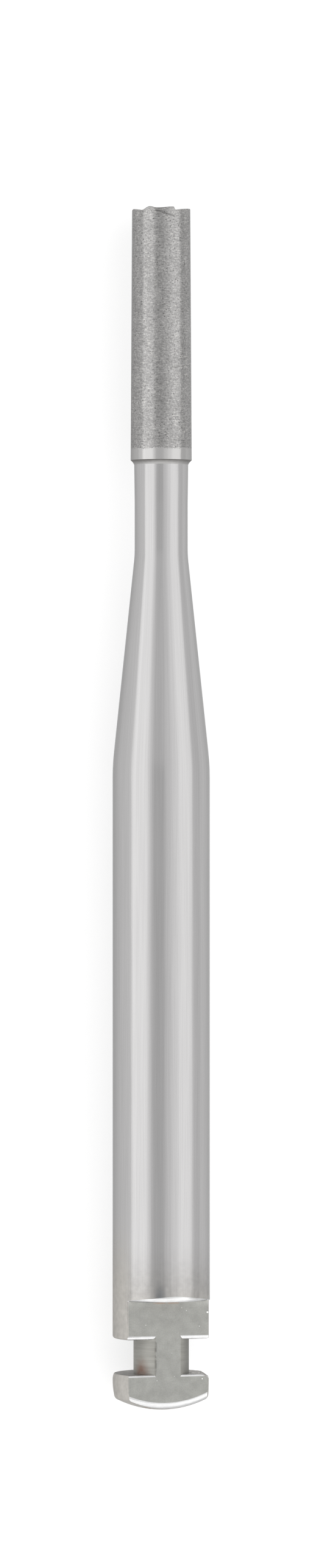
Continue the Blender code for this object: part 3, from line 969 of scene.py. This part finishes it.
# Each soft box beside the bur: where it starts and ends, in degrees from straight up towards
# the right, and its radiance beyond the room's.
BOX_DISTANCE = 0.2
BOX_LENGTH = 0.5
SOFT_BOXES = [
    ("left horizon box", -90.0, -80.0, 0.15),
    ("left low box", -90.0, -62.0, 0.84),
    ("left high box", -62.0, -47.0, 0.84),
    ("left edge box", -47.0, -38.0, 0.42),
    ("right first box", -7.0, 8.0, 0.3),
    ("right inner box", 8.0, 24.0, 0.52),
    ("right outer box", 24.0, 62.0, 0.77),
    ("right low box", 62.0, 90.0, 0.15),
]
END_BOX_WIDTH = 0.4
END_BOX_HEIGHT = 0.2
END_BOX_RADIANCE = 0.92
# The taper alone mirrors this box, which hangs beyond the shoulder.
SHOULDER_BOX_TURN = radians(-22.5)
SHOULDER_BOX_WIDTH = 0.11
SHOULDER_BOX_START = 0.022
SHOULDER_BOX_END = 0.085
SHOULDER_BOX_RADIANCE = 0.13

CAMERA_DISTANCE = 0.17
CAMERA_TURN = radians(16.5)
CAMERA_SIDE = 0.00008
CAMERA_RISE = 0.000598
CAMERA_LENS = 161.3
CAMERA_CLIP = 0.001


def matte_table():
    """Matte white table, lifted to white where the camera sees it and nearly so in the metal."""
    material = bpy.data.materials.new("white table")
    material.use_nodes = True
    tree = material.node_tree
    shader = tree.nodes["Principled BSDF"]
    grain = add(tree, "ShaderNodeTexNoise", {"Scale": FLOOR_GRAIN, "Detail": 2.0})
    shade = add(tree, "ShaderNodeMapRange", {0: grain, **FLOOR_SHADES})
    colour = {0: linear(FLOOR_COLOUR)[:3], "Scale": shade}
    colour = add(tree, "ShaderNodeVectorMath", colour, operation="SCALE")
    tree.links.new(colour, shader.inputs["Base Color"])
    shader.inputs["Roughness"].default_value = FLOOR_ROUGHNESS
    shader.inputs["Specular IOR Level"].default_value = 0.0
    seen = add(tree, "ShaderNodeLightPath", output="Is Camera Ray")
    mirrored = add(tree, "ShaderNodeLightPath", output="Is Glossy Ray")
    through = add(tree, "ShaderNodeLightPath", output="Is Transmission Ray")
    mirrored = add(tree, "ShaderNodeMath", {0: mirrored, 1: through}, operation="ADD")
    lift = add(tree, "ShaderNodeMath", {0: mirrored, 1: MIRROR_LIFT}, operation="MULTIPLY")
    lift = add(tree, "ShaderNodeMath", {0: seen, 1: FLOOR_LIFT, 2: lift}, operation="MULTIPLY_ADD")
    glow = add(tree, "ShaderNodeEmission", {"Strength": lift})
    both = add(tree, "ShaderNodeAddShader", {0: shader.outputs[0], 1: glow})
    tree.links.new(both, tree.nodes["Material Output"].inputs["Surface"])
    return material


def soft_box(name, place, size, radiance):
    """Rectangular soft box of this radiance, out of the camera's sight."""
    lamp = bpy.data.lights.new(name, "AREA")
    lamp.shape = "RECTANGLE"
    lamp.size, lamp.size_y = size
    lamp.energy = radiance * pi * size[0] * size[1]
    box = bpy.data.objects.new(name, lamp)
    box.matrix_world = place
    box.visible_camera = False
    bpy.context.scene.collection.objects.link(box)


plate = bmesh.new()
bmesh.ops.create_grid(plate, x_segments=1, y_segments=1, size=FLOOR_SIZE / 2)
table = make_object("table", plate, matte_table())

for name, start, end, radiance in SOFT_BOXES:
    middle = radians((start + end) / 2)
    width = 2 * BOX_DISTANCE * tan(radians((end - start) / 2))
    away = Vector((sin(middle), 0, cos(middle))) * BOX_DISTANCE
    place = Matrix.Translation(away) @ Matrix.Rotation(middle, 4, "Y")
    soft_box(name, place, (width, BOX_LENGTH), radiance)

end_place = Matrix.Translation((0, -BOX_DISTANCE, END_BOX_HEIGHT / 2))
end_place @= Matrix.Rotation(pi / 2, 4, "X")
soft_box("end box", end_place, (END_BOX_WIDTH, END_BOX_HEIGHT), END_BOX_RADIANCE)

shoulder_box_length = SHOULDER_BOX_END - SHOULDER_BOX_START
shoulder_middle = (0, SHOULDER_BOX_START + shoulder_box_length / 2, BOX_DISTANCE)
shoulder_place = Matrix.Rotation(SHOULDER_BOX_TURN, 4, "Y") @ Matrix.Translation(shoulder_middle)
shoulder_size = (SHOULDER_BOX_WIDTH, shoulder_box_length)
soft_box("shoulder box", shoulder_place, shoulder_size, SHOULDER_BOX_RADIANCE)

room = bpy.data.worlds.new("pale room")
room.use_nodes = True
room.node_tree.nodes["Background"].inputs["Color"].default_value = (ROOM_GREY,) * 3 + (1.0,)
bpy.context.scene.world = room

camera = bpy.data.objects.new("camera", bpy.data.cameras.new("camera"))
camera.data.lens = CAMERA_LENS
camera.data.clip_start = CAMERA_CLIP
toward = Vector((-sin(CAMERA_TURN), 0, cos(CAMERA_TURN)))
sideways = Vector((cos(CAMERA_TURN), 0, sin(CAMERA_TURN)))
target = Vector((0, CAMERA_RISE, SHANK_RADIUS)) + sideways * CAMERA_SIDE
axes = Matrix((sideways, (0, 1, 0), toward)).transposed()
camera.matrix_world = Matrix.Translation(target + toward * CAMERA_DISTANCE) @ axes.to_4x4()
bpy.context.scene.collection.objects.link(camera)
bpy.context.scene.camera = camera
bpy.context.scene.view_settings.view_transform = "Standard"
